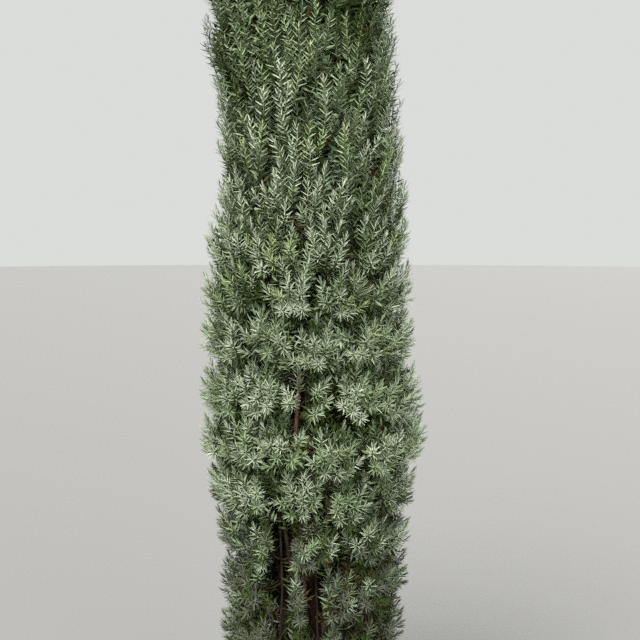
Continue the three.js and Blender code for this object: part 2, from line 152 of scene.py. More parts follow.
# Twigs, from a mass's stem to each tuft
TWIG_RADIUS = 0.0032
TWIG_SUNK = 0.014  # length of a twig inside its tuft
TWIG_RISE = 0.75  # how far a twig climbs for each unit outwards
TWIG_SPAN = (0.08, 0.96)  # where twigs leave a stem, as shares of its length
TWIG_SAG = 0.020
TWIG_TAPER = np.array([1.1, 0.95, 0.8, 0.7, 0.55, 0.25])  # its radii from foot to tip, as shares

# Clefts where the photograph shows bare stems: place across from the axis, half the width, and heights
CLEFTS = [
    (-0.086, 0.034, 0.38, 0.84),
    (0.004, 0.032, 0.30, 0.70),
    (-0.025, 0.030, 1.07, 1.22),
    (-0.020, 0.034, 1.262, 1.300),
    (-0.158, 0.028, 1.37, 1.44),
]
CLEFT_BACK = -0.03  # how far back they reach, from the axis
# Slender stems that show in the clefts: heights, and places across from the axis and in front of it, low,
# halfway and high. Their bark is a twig's, 0, or a lighter one, 1, whose lightness is painted light for a lit
# stem.
CLEFT_STEMS = [
    dict(
        heights=(0.42, 0.61, 0.89), across=(-0.086, -0.082, -0.086), front=(0.10, 0.13, 0.15),
        radii=(0.0042, 0.0030), bark=0,
    ),
    dict(
        heights=(0.34, 0.50, 0.75), across=(0.006, 0.010, 0.006), front=(0.10, 0.13, 0.15),
        radii=(0.0042, 0.0030), bark=0,
    ),
    dict(
        heights=(1.03, 1.12, 1.21), across=(-0.038, -0.029, -0.022), front=(0.195, 0.225, 0.190),
        radii=(0.0062, 0.0048), bark=1,
    ),
]
# Where they start, beside the trunk
CLEFT_STEM_FOOT = 0.30
CLEFT_STEM_FOOT_ACROSS = 0.2  # as a share of their place across low down
CLEFT_STEM_FOOT_FRONT = 0.02

SEED = 20
LEANING_SEED = SEED + 5

# Shoots: their tips stand over two domes round each tuft's root, and older ones fill the shade behind them.
# The crown changes from low to high between RISE_HEIGHTS. Pairs marked so are values for low and for high.
RISE_HEIGHTS = (1.25, 2.0)
OUTER_DOME = dict(count=60, radius=0.093, depth=0.009, spacing=(0.0262, 0.0305))
UNDER_DOME = dict(count=30, radius=0.066, depth=0.034, spacing=(0.034, 0.026))
DOME_ANGLE = math.radians(112)  # from the tuft's direction to the dome's edge
DOME_SCATTER = 0.08
DOME_RADIUS_SPREAD = (0.87, 1.07)
CLUMP_GAPS = (0.006, 0.013)  # low and high: how much nearer tips are to their own tuft
SHOOT_LENGTH = (0.060, 0.085)
SHOOT_STRETCH = 1.75  # how much longer shoots are high up
SHOOT_RISE = (0.28, 2.7)  # low and high: how steeply they climb
SHOOT_SPREAD = (0.10, 0.42)  # low and high: how far their directions scatter
SHOOT_SAG = 0.10  # share of their length
SHOOT_FOOT_DEPTH = 0.036
TIP_SPACING_RISE = 0.7  # high up, heights count this much in the distance between tips
LEAST_SHOOT_HEIGHT = 0.045
SHOOT_RADII = (0.0013, 0.0011, 0.0006)
BRANCHLET_RADII = (0.0018, 0.0015, 0.0012)
BRANCHLET_MIDDLE = 0.55  # where it bends, on its way from the twig to a shoot
BRANCHLET_SAG = 0.006
INNER_LAYERS = (0.26, 0.44, 0.62, 0.80)  # shares of the crown's reach
INNER_PITCH = 0.046
CORE_PITCH = 0.032  # in the innermost layer
INNER_JITTER = 0.3  # share of the pitch
LEAST_INNER_SHOOTS = 3  # in a row
INNER_TWIST = 0.07  # height in which a layer's rows turn by one radian
INNER_OUTWARD = 0.6  # how far inner shoots grow outwards, and up
INNER_UPWARD = 0.7
INNER_SCATTER = 0.45
INNER_SHOOT_LENGTH = (0.050, 0.075)
INNER_TIP_DEPTH = 0.058
TWIG_POINTS = 7  # on each twig, where inner shoots can start
LEAST_RISE = 0.01  # of a shoot's ends above the outline's foot
LEAST_REACH = 0.002

# Needles
OUTER_NEEDLES = 44
NEEDLE_LENGTH = 0.0242
NEEDLE_WIDTHS = (0.0031, 0.0036)  # low and high
INNER_NEEDLES = 21
INNER_NEEDLE_LENGTH = 0.034
INNER_NEEDLE_WIDTH = 0.0064
GOLDEN_TURN = math.pi * (3 - math.sqrt(5))  # from needle to needle low down
RANKED_TURN = math.radians(144)  # and high up, in five ranks
TURN_SPREAD = (0.11, 0.20)  # low and high
NEEDLE_TILTS = (74, 68)  # low and high: degrees from the shoot
TIP_NEEDLE_TILTS = (12, 46)  # the same at its tip
TILT_SPREAD = (4, 8)  # low and high
TIP_CLOSING = (0.70, 1.03)  # where on a shoot needles pass to the tip's tilt
SPRAY_FLATNESS = 0.85  # depth of a shoot's needles high up, as a share of their width
FACE_TURN = 0.45  # how far their faces then turn outwards
FIRST_NEEDLE = 0.06  # share of the shoot's length
NEEDLE_CROWDING = 0.85  # under 1, needles stand closer towards the tip
NEEDLE_TAPER = 0.26  # how much shorter the first and the last needles are
TAPER_SKEW = 1.3  # over 1, the longest stand past the middle
LENGTH_SPREAD = (0.85, 1.10)
OUTER_ROLL = 0.25
INNER_ROLL = 1.2
BLADE_SHOULDER = 0.26  # where a blade has its full width, as a share of its length
SHOULDER_BEND = 0.02  # how far it bends forward there
TIP_BEND = 0.16  # and at its tip
BLADE_TIP_WIDTH = 0.3  # share of its full width
PIECE_TRIANGLES = 196000

# Bark relief: strips round a limb, and their sizes as shares of its radius. Paces, swings and twists are in
# radians a metre.
BROAD_STRIPS = ((3, 0.030), (5, 0.024))
FINE_STRIP_SIZES = (0.020, 0.016, 0.012)
STRIP_PACE = 3.0  # how far a strip turns round the limb, at most
STRIP_SWINGS = (6.0, 14.0)  # how fast it wanders from side to side
STRIP_WANDER = 0.6  # how far
LAST_WANDER_START = 6.0  # it starts anywhere up to this phase
FLAKE_SIZE = 0.010
FLAKE_PACE = 95.0
FLAKE_SHIFTS = 3  # changes of the flakes' heights round the limb
FLAKE_SHIFT = 4.0
FLAKE_TWIST = 30.0
TRUNK_STRIPS = 11
BOUGH_STRIPS = 7

# How finely the limbs' and twigs' meshes are divided
TRUNK_RINGS = 220
TRUNK_RING_CROWDING = 1.25  # over 1, rings stand closer near the ground
TRUNK_SIDES = 56
BOUGH_RINGS = 50
BOUGH_SIDES = 12
STEM_RINGS = 12
STEM_SIDES = 7
CLEFT_STEM_RINGS = 30
TWIG_SIDES = 6
FINE_SIDES = 3
# Over these upward parts a tube's and a tuft's directions count as upright
UPRIGHT_TUBE = 0.95
UPRIGHT_TUFT = 0.99

UP = np.array((0.0, 0.0, 1.0))
FRONT = np.array((0.0, -1.0, 0.0))
NUDGE = 0.001 * FRONT  # so that no way outwards from the axis is nothing


def seeded(seed):
    """The solids' repeatable stream of numbers from 0 to 1."""
    state = seed
    while True:
        state = (state * 1664525 + 1013904223) % 4294967296
        yield state / 4294967296


def lerp(a, b, t):
    return a + (b - a) * t


def smoothstep(x, low, high):
    t = np.clip((x - low) / (high - low), 0, 1)
    return t * t * (3 - 2 * t)


def high_up(points):
    """How far up each point stands between RISE_HEIGHTS, from 0 to 1, as a column."""
    return smoothstep(points[:, 2:], *RISE_HEIGHTS)


def unit(v):
    return v / np.linalg.norm(v, axis=-1, keepdims=True)


def axis_at(z):
    z = np.asarray(z, dtype=float)
    wander = SWAY * np.sin(z / SWAY_LENGTH)
    return np.stack([wander - LEAN * z, wander * SWAY_DEPTH, z], axis=-1)


def on_crown(z, azimuth, radius):
    z, azimuth, radius = np.broadcast_arrays(np.asarray(z, dtype=float), azimuth, radius)
    out = np.stack([np.cos(azimuth), np.sin(azimuth), np.zeros_like(z)], axis=-1)
    return axis_at(z) + out * radius[..., None]


def reach_at(z, azimuth):
    """How far the needle tips reach from the axis."""
    z = np.asarray(z, dtype=float)
    left, right = (np.interp(z, OUTLINE[:, 0], OUTLINE[:, side]) for side in (1, 2))
    reach = lerp(left, right, (1 + np.cos(azimuth)) / 2)
    return np.where((z > TREE_HEIGHT) | (z < OUTLINE[0, 0]), 0.0, reach)


def limb_room_at(z):
    return np.where(np.asarray(z) > TRUNK_TIP, 0.0, np.interp(z, LIMB_ROOM[:, 0], LIMB_ROOM[:, 1]))


def trunk_radius_at(z):
    return np.interp(z, TRUNK_RADII[:, 0], TRUNK_RADII[:, 1])


class Curve:
    """A centripetal Catmull-Rom curve through its points, read by share of its length."""

    SAMPLES = 60

    def __init__(self, points):
        points = [np.asarray(p, dtype=float) for p in points]
        ends = [2 * points[0] - points[1]] + points + [2 * points[-1] - points[-2]]
        pieces = [self._span(*ends[k : k + 4]) for k in range(len(points) - 1)]
        self.points = np.concatenate(pieces + [points[-1][None]])
        steps = np.linalg.norm(np.diff(self.points, axis=0), axis=1)
        self.length = steps.sum()
        self.shares = np.concatenate([[0], np.cumsum(steps)]) / self.length

    def _span(self, p0, p1, p2, p3):
        d0, d1, d2 = (math.sqrt(np.linalg.norm(b - a)) for a, b in ((p0, p1), (p1, p2), (p2, p3)))
        m1 = ((p1 - p0) / d0 - (p2 - p0) / (d0 + d1) + (p2 - p1) / d1) * d1
        m2 = ((p2 - p1) / d1 - (p3 - p1) / (d1 + d2) + (p3 - p2) / d2) * d1
        t = np.arange(self.SAMPLES)[:, None] / self.SAMPLES
        return p1 + m1 * t + (3 * (p2 - p1) - 2 * m1 - m2) * t**2 + (2 * (p1 - p2) + m1 + m2) * t**3

    def at(self, share):
        return np.stack([np.interp(share, self.shares, self.points[:, k]) for k in range(3)], axis=-1)

    def end_direction(self):
        return unit(self.points[-1] - self.points[-2])


# The crown's plan, by the solids' rule
def place_masses():
    random = seeded(SEED)
    masses = []
    for level, ring in enumerate(RINGS):
        for k in range(ring["count"]):
            jitter = (TURN_JITTER if level else 0) * (2 * next(random) - 1)
            azimuth = math.radians(ring["turn"] + 360 * k / ring["count"] + jitter)
            side = 1 if k % 2 else -1
            shift = side * HEIGHT_JITTER * lerp(LEAST_JITTER, 1, next(random)) if ring["foot"] else 0.0
            z = ring["middle"] + shift
            radius = lerp(float(limb_room_at(z)), float(reach_at(z, azimuth)), MIDDLE_SHARE)
            middle = on_crown(z, azimuth, radius if ring["foot"] else 0.0)
            masses.append(dict(ring=ring, azimuth=azimuth, shift=shift, middle=middle))
    return masses


masses = place_masses()
WEIGHTS = np.array((1.0, 1.0, HEIGHT_WEIGHT))
weighted_middles = np.array([mass["middle"] for mass in masses]) * WEIGHTS


def mass_name(index):
    return f"mass_{index + 1:02d}"


def side_room(point, index):
    """How far a point lies from the nearest seam between its mass's space and another's."""
    p = point * WEIGHTS
    own = weighted_middles[index]
    others = np.delete(weighted_middles, index, axis=0)
    gain = np.sum((p - others) ** 2, axis=1) - np.sum((p - own) ** 2)
    return np.min(gain / (2 * np.linalg.norm(others - own, axis=1)))


def in_space(point, index, side_gap, tip_gap, limb_gap):
    """Whether a point lies in a mass's space, with gaps to its sides, the needle tips and the limbs."""
    from_axis = point - axis_at(point[2])
    radius = math.hypot(from_axis[0], from_axis[1])
    if radius > reach_at(point[2], math.atan2(from_axis[1], from_axis[0])) - tip_gap:
        return False
    limb_room = float(limb_room_at(point[2]))
    if limb_room > 0 and radius < limb_room + limb_gap:
        return False
    return side_room(point, index) > side_gap


def entry_of(mass, index):
    """Where a bough meets its mass: the first free place up from the ring's height."""
    ring = mass["ring"]
    beside = ring["thick"] * BOUGH_TAPER + ENTRY_LIMB_GAP
    z = ring["tip"] + mass["shift"] * BOUGH_SHIFT_TIP
    entry = on_crown(z, mass["azimuth"], limb_room_at(z) + beside)
    while z < mass["middle"][2] and not in_space(entry, index, ENTRY_SIDE_GAP, 0, 0):
        z += ENTRY_STEP
        entry = on_crown(z, mass["azimuth"], limb_room_at(z) + beside)
    return entry


def bough_curve(mass):
    ring, azimuth, entry = mass["ring"], mass["azimuth"], mass["entry"]
    foot = ring["foot"] + mass["shift"] * BOUGH_SHIFT_FOOT
    climb = entry[2] - foot
    leave = foot + LEAVE_SHARE * climb
    swing = entry[2] - min(SWING_LENGTH, SWING_SHARE * climb)
    beside = lerp(trunk_radius_at(leave) + ring["thick"], ring["run"], LEAVE_RUN)
    return Curve([
        on_crown(foot - BOUGH_SINK, azimuth, BOUGH_FOOT_DEPTH * trunk_radius_at(foot)),
        on_crown(leave, azimuth, beside),
        on_crown(swing, azimuth, ring["run"]),
        entry,
    ])


def bough_radius(ring, t):
    return ring["thick"] * lerp(1, BOUGH_TAPER, t) * (1 + BOUGH_COLLAR * (1 - t) ** BOUGH_COLLAR_FADE)


def stem_curve(mass, index):
    along = np.array((-LEAN, 0, 1)) * STEM_STEP
    top = mass["middle"].copy()
    while in_space(top + along, index, STEM_SIDE_GAP, STEM_TIP_GAP, STEM_LIMB_GAP):
        top += along
    first = mass["stem_foot"] + mass["stem_direction"] * STEM_STRAIGHT
    return Curve([mass["stem_foot"], first, mass["middle"], top])


def grow_limbs():
    """Gives each mass its bough and stem."""
    for index, mass in enumerate(masses):
        if mass["ring"]["foot"]:
            mass["entry"] = entry_of(mass, index)
            mass["bough"] = bough_curve(mass)
            tip, direction = mass["entry"], mass["bough"].end_direction()
            mass["stem_radius"] = bough_radius(mass["ring"], 1)
        else:
            tip, direction = axis_at(TRUNK_TIP), UP
            mass["stem_radius"] = float(trunk_radius_at(TRUNK_TIP))
        mass["stem_foot"] = tip + direction * TOUCH_GAP
        mass["stem_direction"] = direction
        mass["stem"] = stem_curve(mass, index)


def in_clefts(points):
    """Whether points lie in one of the clefts of the front."""
    x, y, _ = (points - axis_at(points[:, 2])).T
    inside = np.zeros(len(points), dtype=bool)
    for across, half, low, high in CLEFTS:
        inside |= (np.abs(x - across) < half) & (low < points[:, 2]) & (points[:, 2] < high)
    return inside & (y < CLEFT_BACK)


def cleft_stem(heights, across, front):
    """A slender stem from the trunk up through a cleft into the foliage."""
    start = (CLEFT_STEM_FOOT_ACROSS * across[0], -CLEFT_STEM_FOOT_FRONT, 0)
    foot = axis_at(CLEFT_STEM_FOOT) + start
    return Curve([foot] + [axis_at(z) + (x, -y, 0) for z, x, y in zip(heights, across, front)])


def place_tufts():
    random = seeded(SEED + 1)
    tufts = []
    odd_row = False
    z = FIRST_ROW
    while z < LAST_ROW:
        around = 2 * math.pi * (float(reach_at(z, math.pi / 2)) - TUFT_DEPTH)
        count = max(LEAST_TUFTS, math.floor(around / TUFT_PITCH + 0.5))
        for k in range(count):
            height = z + TUFT_RISE * TUFT_JITTER * (next(random) - 0.5)
            azimuth = 2 * math.pi * (k + 0.5 * odd_row + TUFT_JITTER * (next(random) - 0.5)) / count
            spin = next(random) * math.pi
            steep = TOP_LIFT * float(smoothstep(height, TOP_FROM, TREE_HEIGHT))
            lift = TUFT_LIFT + TUFT_LIFT_SPREAD * next(random) + steep
            reach = float(reach_at(height, azimuth))
            centre = on_crown(height, azimuth, reach - min(TUFT_DEPTH, TUFT_DEPTH_SHARE * reach))
            direction = unit(np.array((math.cos(azimuth), math.sin(azimuth), lift)))
            tufts.append(dict(centre=centre, direction=direction, spin=spin))
        odd_row = not odd_row
        z += TUFT_RISE * TIGHT_RISE_SHARE if z > TIGHT_ROWS_FROM else TUFT_RISE
    tufts.append(dict(centre=axis_at(TREE_HEIGHT - TUFT_APEX), direction=UP, spin=0.0))
    return tufts


def twig_ends(mass, tuft):
    """Where a tuft's twig leaves its mass's stem, and where it ends."""
    stem = mass["stem"]
    low, high = stem.points[0][2], stem.points[-1][2]
    end = tuft["centre"] + tuft["direction"] * (TWIG_SUNK - TUFT_ROOT)
    far = math.hypot(*(end - mass["middle"])[:2])
    share = (end[2] - TWIG_RISE * far - low) / (high - low)
    return stem.at(min(max(share, TWIG_SPAN[0]), TWIG_SPAN[1])), end


def deal_tufts():
    """Each tuft with its mass and its twig's ends."""
    tufts = place_tufts()
    for tuft in tufts:
        distances = np.sum((tuft["centre"] * WEIGHTS - weighted_middles) ** 2, axis=1)
        tuft["mass"] = int(np.argmin(distances))
        tuft["twig"] = twig_ends(masses[tuft["mass"]], tuft)
    return tufts


def twig_lines(tufts):
    """The feet and the ends of all twigs."""
    return (np.array([tuft["twig"][end] for tuft in tufts]) for end in (0, 1))


# Meshes from arrays
def add_mesh(name, vertices, triangles, materials, tones=None):
    """A mesh object from arrays of points and triangles. tones has each triangle's material by number."""
    mesh = bpy.data.meshes.new(name)
    mesh.vertices.add(len(vertices))
    mesh.vertices.foreach_set("co", np.ascontiguousarray(vertices, dtype=np.float32).ravel())
    mesh.loops.add(3 * len(triangles))
    mesh.loops.foreach_set("vertex_index", np.ascontiguousarray(triangles, dtype=np.int32).ravel())
    mesh.polygons.add(len(triangles))
    mesh.polygons.foreach_set("loop_start", np.arange(0, 3 * len(triangles), 3, dtype=np.int32))
    for material in materials:
        mesh.materials.append(material)
    if tones is not None:
        mesh.polygons.foreach_set("material_index", np.ascontiguousarray(tones, dtype=np.int32))
    mesh.update(calc_edges=True)
    piece = bpy.data.objects.new(name, mesh)
    bpy.context.scene.collection.objects.link(piece)
    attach(piece, "root")
    return piece


def shade_smooth(piece):
    piece.data.polygons.foreach_set("use_smooth", np.ones(len(piece.data.polygons), dtype=bool))


def ring_triangles(rings, sides):
    """Triangles of a closed tube of rings, its ends filled by fans."""
    ring, side = np.meshgrid(np.arange(rings - 1), np.arange(sides), indexing="ij")
    a = (ring * sides + side).ravel()
    b = (ring * sides + (side + 1) % sides).ravel()
    wall = np.concatenate([np.stack([a, b, b + sides], axis=1), np.stack([a, b + sides, a + sides], axis=1)])
    fan = np.arange(1, sides - 1)
    foot = np.stack([np.zeros_like(fan), fan + 1, fan], axis=1)
    last = (rings - 1) * sides
    top = np.stack([np.full_like(fan, last), last + fan, last + fan + 1], axis=1)
    return np.concatenate([wall, foot, top])


def tubes(paths, radii, sides):
    """Closed tubes along many paths at once, as vertices and triangles.

    paths is (count, rings, 3). radii has one for each ring, or for each tube's rings, or for their sides too.
    """
    count, rings, _ = paths.shape
    tangents = unit(np.gradient(paths, axis=1))
    whole = unit(paths[:, -1] - paths[:, 0])
    across = np.where(np.abs(whole[:, 2:]) > UPRIGHT_TUBE, FRONT, UP)
    first = unit(np.cross(across[:, None, :], tangents))
    second = np.cross(tangents, first)
    angle = 2 * math.pi * np.arange(sides) / sides
    around = first[:, :, None] * np.cos(angle)[:, None] + second[:, :, None] * np.sin(angle)[:, None]
    radii = np.asarray(radii)
    if radii.ndim < 3:
        radii = radii[..., None]
    points = paths[:, :, None] + around * radii[..., None]
    block = ring_triangles(rings, sides)
    offsets = np.arange(count)[:, None, None] * rings * sides
    return points.reshape(-1, 3), (block[None] + offsets).reshape(-1, 3)


def join(parts):
    """Joins (vertices, triangles) pairs."""
    vertices, triangles, offset = [], [], 0
    for points, faces in parts:
        vertices.append(points)
        triangles.append(faces + offset)
        offset += len(points)
    return np.concatenate(vertices), np.concatenate(triangles)


# Trunk and boughs
def bark_relief(angle, along, seed, fine):
    """Upright, wandering strips of bark as a share of the radius. fine is how many stand round the limb."""
    draw = np.random.default_rng(seed)
    relief = np.zeros(np.broadcast(angle, along).shape)
    fine_strips = zip((fine, fine + 3, 2 * fine + 1), FINE_STRIP_SIZES)
    for lobes, size in (*BROAD_STRIPS, *fine_strips):
        turn = draw.uniform(0, 2 * math.pi)
        pace = draw.uniform(-STRIP_PACE, STRIP_PACE)
        swing = draw.uniform(*STRIP_SWINGS)
        wander = STRIP_WANDER * np.sin(swing * along + draw.uniform(0, LAST_WANDER_START))
        relief += size * np.cos(lobes * angle + turn + pace * along + wander)
    flakes = np.sin(FLAKE_PACE * along + FLAKE_SHIFT * np.sin(FLAKE_SHIFTS * angle))
    flakes *= np.sin(fine * angle + FLAKE_TWIST * along)
    return relief + FLAKE_SIZE * flakes


def trunk_piece(bark):
    height = TRUNK_TIP * np.linspace(0, 1, TRUNK_RINGS) ** TRUNK_RING_CROWDING
    angle = 2 * math.pi * np.arange(TRUNK_SIDES) / TRUNK_SIDES
    z, azimuth = np.meshgrid(height, angle, indexing="ij")
    fade = np.maximum(0, 1 - z / FLARE_HEIGHT) ** FLARE_FADE
    rib = 1 - ROOT_RIB_DEPTH + ROOT_RIB_DEPTH * np.cos(ROOT_RIBS * azimuth + ROOT_TURN)
    radius = trunk_radius_at(z) + FLARE_REACH * fade * rib
    radius *= 1 + bark_relief(azimuth, z, SEED, TRUNK_STRIPS)
    points = on_crown(z, azimuth, radius).reshape(-1, 3)
    piece = add_mesh("trunk_bark", points, ring_triangles(TRUNK_RINGS, TRUNK_SIDES), [bark])
    shade_smooth(piece)
    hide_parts("trunk")


def boughs_piece(bark):
    share = np.linspace(0, 1, BOUGH_RINGS)
    angle = 2 * math.pi * np.arange(BOUGH_SIDES) / BOUGH_SIDES
    parts = []
    for index, mass in enumerate(masses):
        if not mass["ring"]["foot"]:
            continue
        curve = mass["bough"]
        relief = bark_relief(angle[None], share[:, None] * curve.length, SEED + index, BOUGH_STRIPS)
        radius = bough_radius(mass["ring"], share)[:, None] * (1 + relief)
        parts.append(tubes(curve.at(share)[None], radius[None], BOUGH_SIDES))
    piece = add_mesh("boughs_bark", *join(parts), [bark])
    shade_smooth(piece)
    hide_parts(*(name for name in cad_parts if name.startswith("bough_")))


# Shoots
class Shoots(NamedTuple):
    """Many shoots as arrays: their ends, where their branchlets leave a twig, and their clumps by number."""

    bases: np.ndarray
    tips: np.ndarray
    roots: np.ndarray
    clumps: np.ndarray

    def only(self, kept):
        return Shoots(*(values[kept] for values in self))


def side_frame(direction):
    across = FRONT if abs(direction[2]) > UPRIGHT_TUFT else UP
    side = unit(np.cross(across, direction))
    return side, np.cross(direction, side)


def dome_shoots(tufts, dome, draw):
    """Shoots of all tufts: tips spread evenly over the domes, growing outwards and up."""
    count = dome["count"]
    k = np.arange(count) + 0.5
    cosine = 1 - k / count * (1 - math.cos(DOME_ANGLE))
    sine = np.sqrt(1 - cosine**2)
    parts = []
    for index, tuft in enumerate(tufts):
        root = tuft["centre"] - tuft["direction"] * TUFT_ROOT
        side, up_side = side_frame(tuft["direction"])
        turn = k * GOLDEN_TURN + tuft["spin"]
        out = cosine[:, None] * tuft["direction"]
        out = out + (sine * np.cos(turn))[:, None] * side + (sine * np.sin(turn))[:, None] * up_side
        out = unit(out + draw.normal(0, DOME_SCATTER, out.shape))
        tip = root + out * dome["radius"] * draw.uniform(*DOME_RADIUS_SPREAD, (count, 1))
        tip = keep_in_reach(tip, dome["depth"])
        high = high_up(tip)
        scatter = draw.normal(0, 1, out.shape) * lerp(*SHOOT_SPREAD, high)
        grow = unit(out + lerp(*SHOOT_RISE, high) * UP + scatter)
        base = tip - grow * draw.uniform(*SHOOT_LENGTH, (count, 1)) * lerp(1, SHOOT_STRETCH, high)
        base = keep_in_reach(base, SHOOT_FOOT_DEPTH)
        parts.append(Shoots(base, tip, np.broadcast_to(root, tip.shape), np.full(count, index)))
    shoots = Shoots(*(np.concatenate(values) for values in zip(*parts)))
    centres = np.array([tuft["centre"] for tuft in tufts])
    kept = well_spaced(shoots.tips, shoots.clumps, centres, dome["spacing"], draw)
    return off_ground(shoots.only(kept))


def well_spaced(tips, clumps, centres, spacing, draw):
    """Which shoots stay: those in their own clump's part of the crown, and none close to another."""
    distances = np.linalg.norm(tips[:, None] - centres[None], axis=2)
    shoots = np.arange(len(tips))
    own = distances[shoots, clumps]
    distances[shoots, clumps] = np.inf
    high = high_up(tips)[:, 0]
    gap, spacing, rise = lerp(*CLUMP_GAPS, high), lerp(*spacing, high), lerp(1, TIP_SPACING_RISE, high)
    left_out = in_clefts(tips) | (own > distances.min(axis=1) - gap)
    kept, places = [], np.empty((0, 3))
    for k in draw.permutation(shoots[~left_out]):
        if len(places) and np.linalg.norm((places - tips[k]) * (1, 1, rise[k]), axis=1).min() < spacing[k]:
            continue
        kept.append(k)
        places = np.vstack([places, tips[k]])
    return np.array(sorted(kept))


def inner_shoots(tufts, draw):
    """Older shoots in even layers inside the crown, each on the nearest point of a twig."""
    bases, tips = [], []
    for layer in INNER_LAYERS:
        pitch = CORE_PITCH if layer == INNER_LAYERS[0] else INNER_PITCH
        for z in np.arange(OUTLINE[0, 0] + pitch, LAST_ROW, pitch):
            radius = layer * float(reach_at(z, math.pi / 2))
            count = max(LEAST_INNER_SHOOTS, round(2 * math.pi * radius / pitch))
            turns = np.arange(count) + draw.uniform(-INNER_JITTER, INNER_JITTER, count)
            azimuth = 2 * math.pi * turns / count + layer + z / INNER_TWIST
            height = z + draw.uniform(-INNER_JITTER, INNER_JITTER, count) * pitch
            place = on_crown(height, azimuth, radius)
            outward = unit(place - axis_at(place[:, 2]))
            scatter = draw.normal(0, INNER_SCATTER, place.shape)
            grow = unit(INNER_OUTWARD * outward + INNER_UPWARD * UP + scatter)
            half = grow * draw.uniform(*INNER_SHOOT_LENGTH, (count, 1)) / 2
            bases.append(place - half)
            tips.append(keep_in_reach(place + half, INNER_TIP_DEPTH))
    bases, tips = np.concatenate(bases), np.concatenate(tips)
    kept = ~in_clefts(tips)
    starts, ends = twig_lines(tufts)
    along = lerp(starts[:, None], ends[:, None], np.linspace(0, 1, TWIG_POINTS)[None, :, None]).reshape(-1, 3)
    unrooted = off_ground(Shoots(bases[kept], tips[kept], None, None))
    nearest = np.array([np.argmin(np.sum((along - base) ** 2, axis=1)) for base in unrooted.bases])
    return unrooted._replace(roots=along[nearest], clumps=nearest // TWIG_POINTS)


def keep_in_reach(points, depth):
    """Pulls points in to a depth below the needle tips' outline."""
    points = points.copy()
    points[:, 2] = np.clip(points[:, 2], OUTLINE[0, 0] + LEAST_RISE, TREE_HEIGHT - depth)
    from_axis = points - axis_at(points[:, 2])
    radius = np.hypot(from_axis[:, 0], from_axis[:, 1])
    azimuth = np.arctan2(from_axis[:, 1], from_axis[:, 0])
    most = np.maximum(reach_at(points[:, 2], azimuth) - depth, LEAST_REACH)
    share = np.minimum(1, most / np.maximum(radius, LEAST_REACH))
    points[:, :2] = axis_at(points[:, 2])[:, :2] + from_axis[:, :2] * share[:, None]
    return points


def off_ground(shoots):
    """Lifts shoots whose needles would reach the ground."""
    lowest = np.minimum(shoots.bases[:, 2:], shoots.tips[:, 2:])
    lift = np.maximum(0, LEAST_SHOOT_HEIGHT - lowest) * UP
    return shoots._replace(bases=shoots.bases + lift, tips=shoots.tips + lift)


def shoot_axes(bases, tips, shares):
    """Points and directions along shoots, which sag and so curve up to their tips."""
    run = tips - bases
    length = np.linalg.norm(run, axis=1, keepdims=True)
    sag = -SHOOT_SAG * length * UP
    t = np.asarray(shares)[None, :, None]
    points = bases[:, None] + run[:, None] * t + sag[:, None] * 4 * t * (1 - t)
    ways = unit(run[:, None] + sag[:, None] * 4 * (1 - 2 * t))
    return points, ways


def shoot_faces(tips, ways):
    """Ways across shoots: along the crown's surface, and out from it."""
    outward = tips - axis_at(tips[:, 2]) + NUDGE
    tangent = unit(np.cross(UP, outward))[:, None]
    side = unit(tangent - ways * np.sum(tangent * ways, axis=-1, keepdims=True))
    return side, np.cross(ways, side)


# Needles
def needle_lines(bases, tips, count, length, draw):
    """Roots, lines, widths and forward ways of the needles round shoots, in a spiral that closes at the tip.

    High up the needles stand in ranks, a little flatter, and turn their faces outwards.
    """
    shape = (len(bases), count)
    shares = np.linspace(FIRST_NEEDLE, 1, count) ** NEEDLE_CROWDING
    roots, ways = shoot_axes(bases, tips, shares)
    side, face = shoot_faces(tips, ways)
    high = high_up(tips)
    step = lerp(GOLDEN_TURN, RANKED_TURN, high)
    turn = step * np.arange(count)[None] + draw.uniform(0, 2 * math.pi, (shape[0], 1))
    turn = (turn + draw.normal(0, 1, shape) * lerp(*TURN_SPREAD, high))[..., None]
    flatness = lerp(1, SPRAY_FLATNESS, high)[..., None]
    out = unit(side * np.cos(turn) + face * np.sin(turn) * flatness)
    closing = smoothstep(shares, *TIP_CLOSING)
    tilt = lerp(lerp(*NEEDLE_TILTS, high), lerp(*TIP_NEEDLE_TILTS, high), closing)
    tilt = np.radians(tilt + draw.normal(0, 1, shape) * lerp(*TILT_SPREAD, high))[..., None]
    along = out * np.sin(tilt) + ways * np.cos(tilt)
    size = length * (1 - NEEDLE_TAPER + NEEDLE_TAPER * np.sin(math.pi * shares**TAPER_SKEW))
    size = size * draw.uniform(*LENGTH_SPREAD, shape)
    around = np.cross(out, ways)
    flat = unit(np.cross(along, face))
    flat *= np.where(np.sum(flat * around, axis=-1, keepdims=True) < 0, -1, 1)
    across = unit(lerp(around, flat, FACE_TURN * high[..., None]))
    return roots, along * size[..., None], across, np.cross(around, along)


def rolled(across, line, angle):
    """Widths turned about their needles."""
    angle = angle[..., None]
    return across * np.cos(angle) + np.cross(across, unit(line)) * np.sin(angle)


# Triangles by a blade's corners: its root, its shoulder's or middle's sides, and its tip or the tip's sides
OUTER_BLADE = np.array([(0, 2, 1), (1, 2, 4), (1, 4, 3)])
INNER_BLADE = np.array([(0, 2, 1), (1, 2, 3)])


